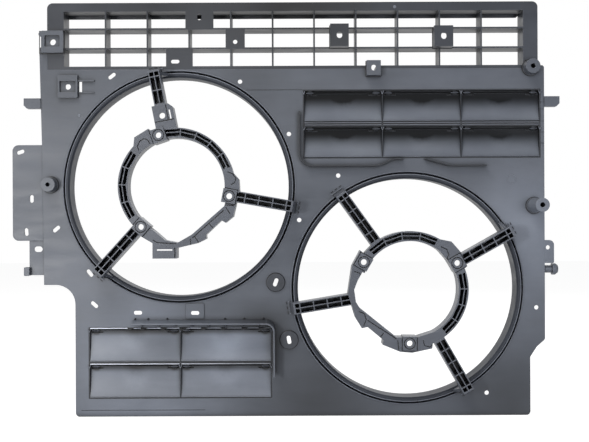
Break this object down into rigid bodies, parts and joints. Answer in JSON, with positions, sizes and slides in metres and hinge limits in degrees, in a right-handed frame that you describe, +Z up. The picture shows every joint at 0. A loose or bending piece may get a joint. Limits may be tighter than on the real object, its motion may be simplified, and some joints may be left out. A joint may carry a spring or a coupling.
{
  "type": "radiator fan shroud",
  "caption": "Moulded shroud for two radiator fans, with ribbed motor carriers, a slatted top grille and hinged ram-air flaps.",
  "frame": {"origin": "the left fan's axis on the front face of the panel, where the fan bore's straight wall begins", "axes": "+X to the right as seen from the engine side, +Y towards the radiator along the fan axes, +Z up"},
  "size_m": [0.8753, 0.096, 0.6618],
  "materials": {
    "moulding": "moulded glass-filled polypropylene, matte charcoal",
    "grille": "moulded glass-filled polypropylene, darker matte charcoal",
    "carrier": "moulded glass-filled polypropylene, satin charcoal",
    "flap": "moulded polypropylene, satin grey"
  },
  "bodies": {
    "shroud": {"boss_left": "moulding", "boss_right": "moulding", "boss_top_right": "moulding", "box_bracket_left": "grille", "box_bracket_low": "moulding", "box_bracket_right": "grille", "corner_bracket": "moulding", "curved_rib_left": "moulding", "curved_rib_right": "moulding", "fan_ring_left": "moulding", "fan_ring_right": "moulding", "fixing_lug": "moulding", "gutter_drop": "moulding", "hook_tab": "moulding", "locating_peg_left": "moulding", "locating_peg_right": "moulding", "lower_flap_frame": "moulding", "lower_hinge_rail_1": "moulding", "lower_hinge_rail_2": "moulding", "main_panel": "moulding", "motor_carrier_left": "carrier", "motor_carrier_right": "carrier", "side_plate": "moulding", "skirt_bottom": "moulding", "skirt_left": "moulding", "skirt_right": "moulding", "slide_clip": "moulding", "slot_disc_lower": "moulding", "slot_disc_upper": "moulding", "slot_pad": "moulding", "snap_pin": "moulding", "strut_block": "carrier", "strut_left_lower": "carrier", "strut_left_right": "carrier", "strut_left_top": "carrier", "strut_right_left": "carrier", "strut_right_lower": "carrier", "strut_right_outer": "carrier", "strut_right_upper": "carrier", "top_grille": "grille", "under_clip": "carrier", "upper_flap_frame": "moulding", "upper_frame_post_left": "moulding", "upper_frame_post_right": "moulding", "upper_hinge_rail_1": "moulding", "upper_hinge_rail_2": "moulding", "water_gutter": "moulding"},
    "upper_flap_1_body": {"upper_flap_1": "flap"},
    "upper_flap_2_body": {"upper_flap_2": "flap"},
    "upper_flap_3_body": {"upper_flap_3": "flap"},
    "upper_flap_4_body": {"upper_flap_4": "flap"},
    "upper_flap_5_body": {"upper_flap_5": "flap"},
    "upper_flap_6_body": {"upper_flap_6": "flap"},
    "lower_flap_1_body": {"lower_flap_1": "flap"},
    "lower_flap_2_body": {"lower_flap_2": "flap"},
    "lower_flap_3_body": {"lower_flap_3": "flap"},
    "lower_flap_4_body": {"lower_flap_4": "flap"}
  },
  "joints": [
    {"name": "upper_flap_1_hinge", "type": "hinge", "parent": "shroud", "child": "upper_flap_1_body", "pos_m": [0.26245, 0.0062, 0.1496], "axis": [-1, 0, 0], "range_deg": [0, 65]},
    {"name": "upper_flap_2_hinge", "type": "hinge", "parent": "shroud", "child": "upper_flap_2_body", "pos_m": [0.38835, 0.0062, 0.1496], "axis": [-1, 0, 0], "range_deg": [0, 65]},
    {"name": "upper_flap_3_hinge", "type": "hinge", "parent": "shroud", "child": "upper_flap_3_body", "pos_m": [0.51425, 0.0062, 0.1496], "axis": [-1, 0, 0], "range_deg": [0, 65]},
    {"name": "upper_flap_4_hinge", "type": "hinge", "parent": "shroud", "child": "upper_flap_4_body", "pos_m": [0.26245, 0.0062, 0.092], "axis": [-1, 0, 0], "range_deg": [0, 65]},
    {"name": "upper_flap_5_hinge", "type": "hinge", "parent": "shroud", "child": "upper_flap_5_body", "pos_m": [0.38835, 0.0062, 0.092], "axis": [-1, 0, 0], "range_deg": [0, 65]},
    {"name": "upper_flap_6_hinge", "type": "hinge", "parent": "shroud", "child": "upper_flap_6_body", "pos_m": [0.51425, 0.0062, 0.092], "axis": [-1, 0, 0], "range_deg": [0, 65]},
    {"name": "lower_flap_1_hinge", "type": "hinge", "parent": "shroud", "child": "lower_flap_1_body", "pos_m": [-0.072, 0.0062, -0.2297], "axis": [-1, 0, 0], "range_deg": [0, 65]},
    {"name": "lower_flap_2_hinge", "type": "hinge", "parent": "shroud", "child": "lower_flap_2_body", "pos_m": [0.0736, 0.0062, -0.2297], "axis": [-1, 0, 0], "range_deg": [0, 65]},
    {"name": "lower_flap_3_hinge", "type": "hinge", "parent": "shroud", "child": "lower_flap_3_body", "pos_m": [-0.072, 0.0062, -0.2873], "axis": [-1, 0, 0], "range_deg": [0, 65]},
    {"name": "lower_flap_4_hinge", "type": "hinge", "parent": "shroud", "child": "lower_flap_4_body", "pos_m": [0.0736, 0.0062, -0.2873], "axis": [-1, 0, 0], "range_deg": [0, 65]}
  ]
}
